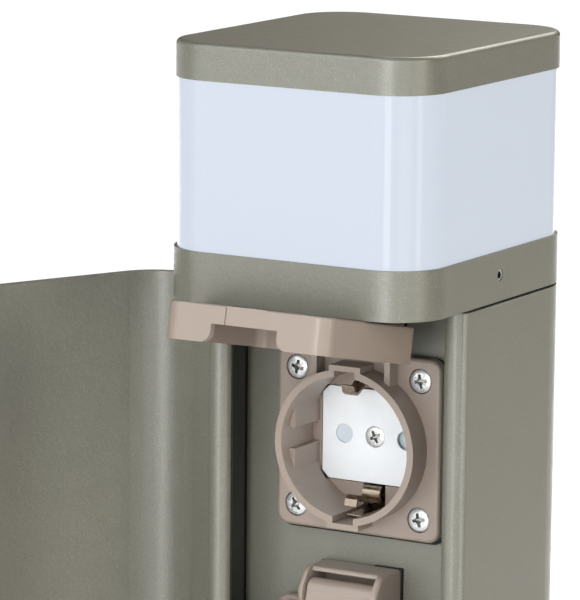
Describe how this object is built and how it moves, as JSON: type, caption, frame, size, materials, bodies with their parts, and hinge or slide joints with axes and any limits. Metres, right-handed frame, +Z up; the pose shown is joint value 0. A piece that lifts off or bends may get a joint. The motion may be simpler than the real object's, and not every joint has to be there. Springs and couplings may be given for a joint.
{
  "type": "garden lamp post with sockets",
  "caption": "Short rectangular garden post lamp with an opal light band on top and weatherproof sockets with flip lids behind a hinged front door.",
  "frame": {"origin": "centre of the foot plate's underside, on the ground", "axes": "+Z up along the post, -Y towards the front with the sockets, +X to the right seen from the front"},
  "size_m": [0.1469, 0.1421, 0.5],
  "materials": {
    "bronze_coat": "fine textured metallic powder coat, satin",
    "zinc_steel": "bright zinc plated",
    "galvanised": "galvanised",
    "grey_plastic": "matte",
    "brass": "plain",
    "white_case": "matte",
    "black_rubber": "matte",
    "bare_aluminium": "mill finish",
    "board_white": "solder mask, satin",
    "led_yellow": "gloss",
    "opal": "opal, satin gloss",
    "chromed": "polished",
    "socket_plastic": "fine moulded grain, satin",
    "insert_white": "satin gloss",
    "shutter_blue": "satin",
    "black_plastic": "matte",
    "nickel_brass": "nickel plated"
  },
  "bodies": {
    "post": {"cable_gland_body": "grey_plastic", "cable_gland_nut": "grey_plastic", "cap": "bronze_coat", "collar": "bronze_coat", "collar_gasket": "black_rubber", "collar_screws": "zinc_steel", "collar_set_screws": "zinc_steel", "diffuser": "opal", "diffuser_gasket": "black_rubber", "driver_screws": "zinc_steel", "earth_stud": "brass", "foot_plate": "bronze_coat", "foot_screws": "zinc_steel", "hinge_pins": "zinc_steel", "led_board": "board_white", "led_board_screws": "zinc_steel", "led_carrier": "bare_aluminium", "led_chips": "led_yellow", "led_driver": "white_case", "lower_earth_clip": "nickel_brass", "lower_flange_screws": "zinc_steel", "lower_insert": "insert_white", "lower_insert_screw": "zinc_steel", "lower_lid_pin": "zinc_steel", "lower_pin_contacts": "brass", "lower_rear_housing": "black_plastic", "lower_socket_flange": "socket_plastic", "lower_socket_gasket": "black_rubber", "mounting_panel": "bronze_coat", "panel_brackets": "galvanised", "panel_screws": "zinc_steel", "post_body": "bronze_coat", "terminal_block": "grey_plastic", "terminal_screws": "zinc_steel", "tie_rods": "zinc_steel", "upper_earth_clip": "nickel_brass", "upper_flange_screws": "zinc_steel", "upper_insert": "insert_white", "upper_insert_screw": "zinc_steel", "upper_lid_pin": "zinc_steel", "upper_pin_contacts": "brass", "upper_rear_housing": "black_plastic", "upper_socket_flange": "socket_plastic", "upper_socket_gasket": "black_rubber"},
    "door": {"door": "bronze_coat", "hinge_brackets": "galvanised", "bracket_rivets": "zinc_steel", "lock_body": "chromed", "lock_nut": "galvanised"},
    "lock": {"lock_core": "chromed", "lock_cam": "galvanised"},
    "upper_lid": {"upper_lid": "socket_plastic", "upper_lid_seal": "black_rubber"},
    "lower_lid": {"lower_lid": "socket_plastic", "lower_lid_seal": "black_rubber"},
    "upper_shutter": {"upper_shutter": "shutter_blue"},
    "lower_shutter": {"lower_shutter": "shutter_blue"}
  },
  "joints": [
    {"name": "door_hinge", "type": "hinge", "parent": "post", "child": "door", "pos_m": [-0.03675, -0.01475, 0.225], "axis": [0, 0, -1], "range_deg": [-65, 0]},
    {"name": "lock_turn", "type": "hinge", "parent": "door", "child": "lock", "pos_m": [-0.07632, -0.05107, 0.2], "axis": [-0.9041, 0.4274, 0], "range_deg": [0, 90]},
    {"name": "upper_lid_hinge", "type": "hinge", "parent": "post", "child": "upper_lid", "pos_m": [0, -0.0105, 0.41895], "axis": [-1, 0, 0], "range_deg": [-102, 0]},
    {"name": "lower_lid_hinge", "type": "hinge", "parent": "post", "child": "lower_lid", "pos_m": [0, -0.0105, 0.34895], "axis": [-1, 0, 0], "range_deg": [0, 110]},
    {"name": "upper_shutter_turn", "type": "hinge", "parent": "post", "child": "upper_shutter", "pos_m": [0, 0.0077, 0.38925], "axis": [0, -1, 0], "range_deg": [0, 40], "stiffness_Nm_per_rad": 0.0008},
    {"name": "lower_shutter_turn", "type": "hinge", "parent": "post", "child": "lower_shutter", "pos_m": [0, 0.0077, 0.31925], "axis": [0, -1, 0], "range_deg": [0, 40], "stiffness_Nm_per_rad": 0.0008}
  ]
}
